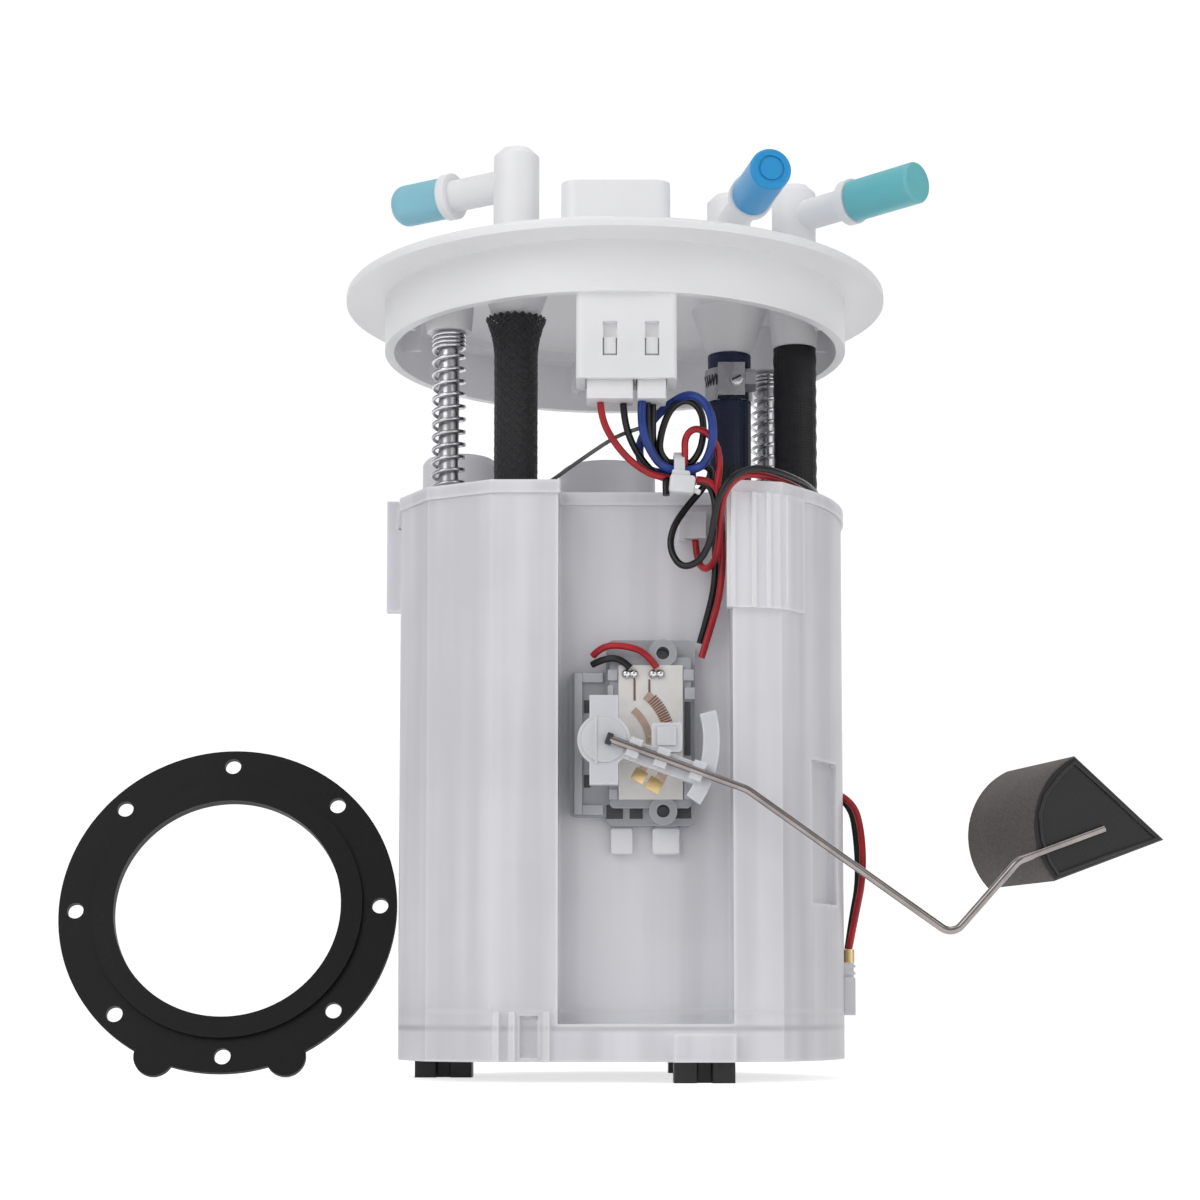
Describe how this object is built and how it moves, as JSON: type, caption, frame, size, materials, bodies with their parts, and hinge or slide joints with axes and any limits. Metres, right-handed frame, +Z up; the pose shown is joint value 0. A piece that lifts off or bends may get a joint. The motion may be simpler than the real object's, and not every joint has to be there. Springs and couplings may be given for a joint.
{
  "type": "fuel pump module",
  "caption": "In-tank fuel pump module: a sprung flange on two rods over a pump bucket, with a level float arm, capped ports, hoses, wires and a loose seal ring",
  "frame": {"origin": "on the flange's axis, at the sealing face under its rim", "axes": "+Z up, out of the tank; -Y the side with the wire plugs, the recess and the level sender; +X to that side's right, where the float hangs"},
  "size_m": [0.275, 0.14, 0.234],
  "materials": {
    "flange_nylon": "milky nylon, slightly translucent",
    "bucket_nylon": "milky translucent moulding",
    "housing_nylon": "milky moulding",
    "arm_nylon": "translucent white",
    "frame_plastic": "grey moulding",
    "card_ceramic": "warm white ceramic",
    "track_ink": "copper pink printed track",
    "solder": "bright solder",
    "cap_pale": "pale cyan",
    "cap_blue": "strong blue",
    "cap_teal": "teal, translucent",
    "rod_steel": "ground",
    "spring_steel": "bright wire",
    "clamp_steel": "bright",
    "arm_steel": "drawn wire",
    "pump_steel": "zinc plated",
    "armature_copper": "wound copper and steel",
    "magnet": "sintered",
    "brass_pin": "plain",
    "hose_plain": "smooth",
    "braid": "woven braid",
    "hose_blue": "smooth navy",
    "rubber_black": "moulded",
    "float_foam": "closed-cell, dark front and warm grey sides",
    "plug_plastic": "milky",
    "tie_plastic": "pale violet",
    "impeller_plastic": "phenolic",
    "filter_paper": "pleated paper",
    "strainer_mesh": "woven mesh",
    "wire_red": "insulation",
    "wire_black": "insulation",
    "wire_blue": "insulation"
  },
  "bodies": {
    "reservoir": {"reservoir_body": "bucket_nylon", "base_pan": "bucket_nylon", "lid": "bucket_nylon", "feet": "rubber_black", "regulator_housing": "housing_nylon", "filter_cap": "housing_nylon", "pressure_regulator": "pump_steel", "regulator_oring": "rubber_black", "sender_frame": "frame_plastic", "resistor_card": "card_ceramic", "card_tracks": "track_ink", "solder_blobs": "solder", "pump_shell": "pump_steel", "pump_base": "bucket_nylon", "pump_top": "bucket_nylon", "pump_magnets": "magnet", "strainer": "strainer_mesh", "filter_element": "filter_paper", "jet_pump": "bucket_nylon", "inlet_valve": "rubber_black", "side_block": "housing_nylon", "side_terminal": "brass_pin", "side_red": "wire_red", "side_black": "wire_black", "wire_clip": "housing_nylon", "lead_red_pump": "wire_red", "card_lead_red": "wire_red", "card_lead_black": "wire_black", "gasket": "rubber_black"},
    "flange": {"flange": "flange_nylon", "socket_pins": "brass_pin", "guide_rod_left": "rod_steel", "guide_rod_right": "rod_steel", "spring_left": "spring_steel", "spring_right": "spring_steel", "hose_inner": "hose_plain", "braided_sleeve": "braid", "hose_navy": "hose_blue", "hose_black": "hose_plain", "clamp_band": "clamp_steel", "clamp_screw": "clamp_steel", "plug_main": "plug_plastic", "plug_signal": "plug_plastic", "zip_tie": "tie_plastic", "wire_red_main": "wire_red", "wire_black_main": "wire_black", "wire_black_signal": "wire_black", "wire_blue_signal": "wire_blue", "wire_red_sender": "wire_red", "wire_black_sender": "wire_black", "lead_black_pump": "wire_black"},
    "float_arm": {"arm_holder": "arm_nylon", "wiper_contact": "spring_steel", "float_rod": "arm_steel", "float": "float_foam"},
    "cap_left": {"cap_left": "cap_pale"},
    "cap_front": {"cap_front": "cap_blue"},
    "cap_right": {"cap_right": "cap_teal"},
    "pump_rotor": {"pump_armature": "armature_copper", "impeller": "impeller_plastic"}
  },
  "joints": [
    {"name": "flange_slide", "type": "slide", "parent": "reservoir", "child": "flange", "axis": [0, 0, -1], "range_m": [0, 0.02], "stiffness_N_per_m": 1500, "springref_m": -0.01, "deforming": ["spring_left", "spring_right", "hose_inner", "braided_sleeve", "hose_navy", "hose_black", "wire_red_sender", "wire_black_sender", "lead_black_pump"]},
    {"name": "float_hinge", "type": "hinge", "parent": "reservoir", "child": "float_arm", "pos_m": [-0.003, -0.05, -0.1185], "axis": [0, -1, 0], "range_deg": [-16, 45]},
    {"name": "cap_left_slide", "type": "slide", "parent": "flange", "child": "cap_left", "axis": [-0.8572, 0.515, 0], "range_m": [0, 0.02]},
    {"name": "cap_front_slide", "type": "slide", "parent": "flange", "child": "cap_front", "axis": [0.1736, -0.9848, 0], "range_m": [0, 0.025]},
    {"name": "cap_right_slide", "type": "slide", "parent": "flange", "child": "cap_right", "axis": [0.7071, -0.7071, 0], "range_m": [0, 0.025]},
    {"name": "pump_hinge", "type": "hinge", "parent": "reservoir", "child": "pump_rotor", "pos_m": [-0.002, 0.022, -0.1], "axis": [0, 0, 1], "continuous": true}
  ]
}
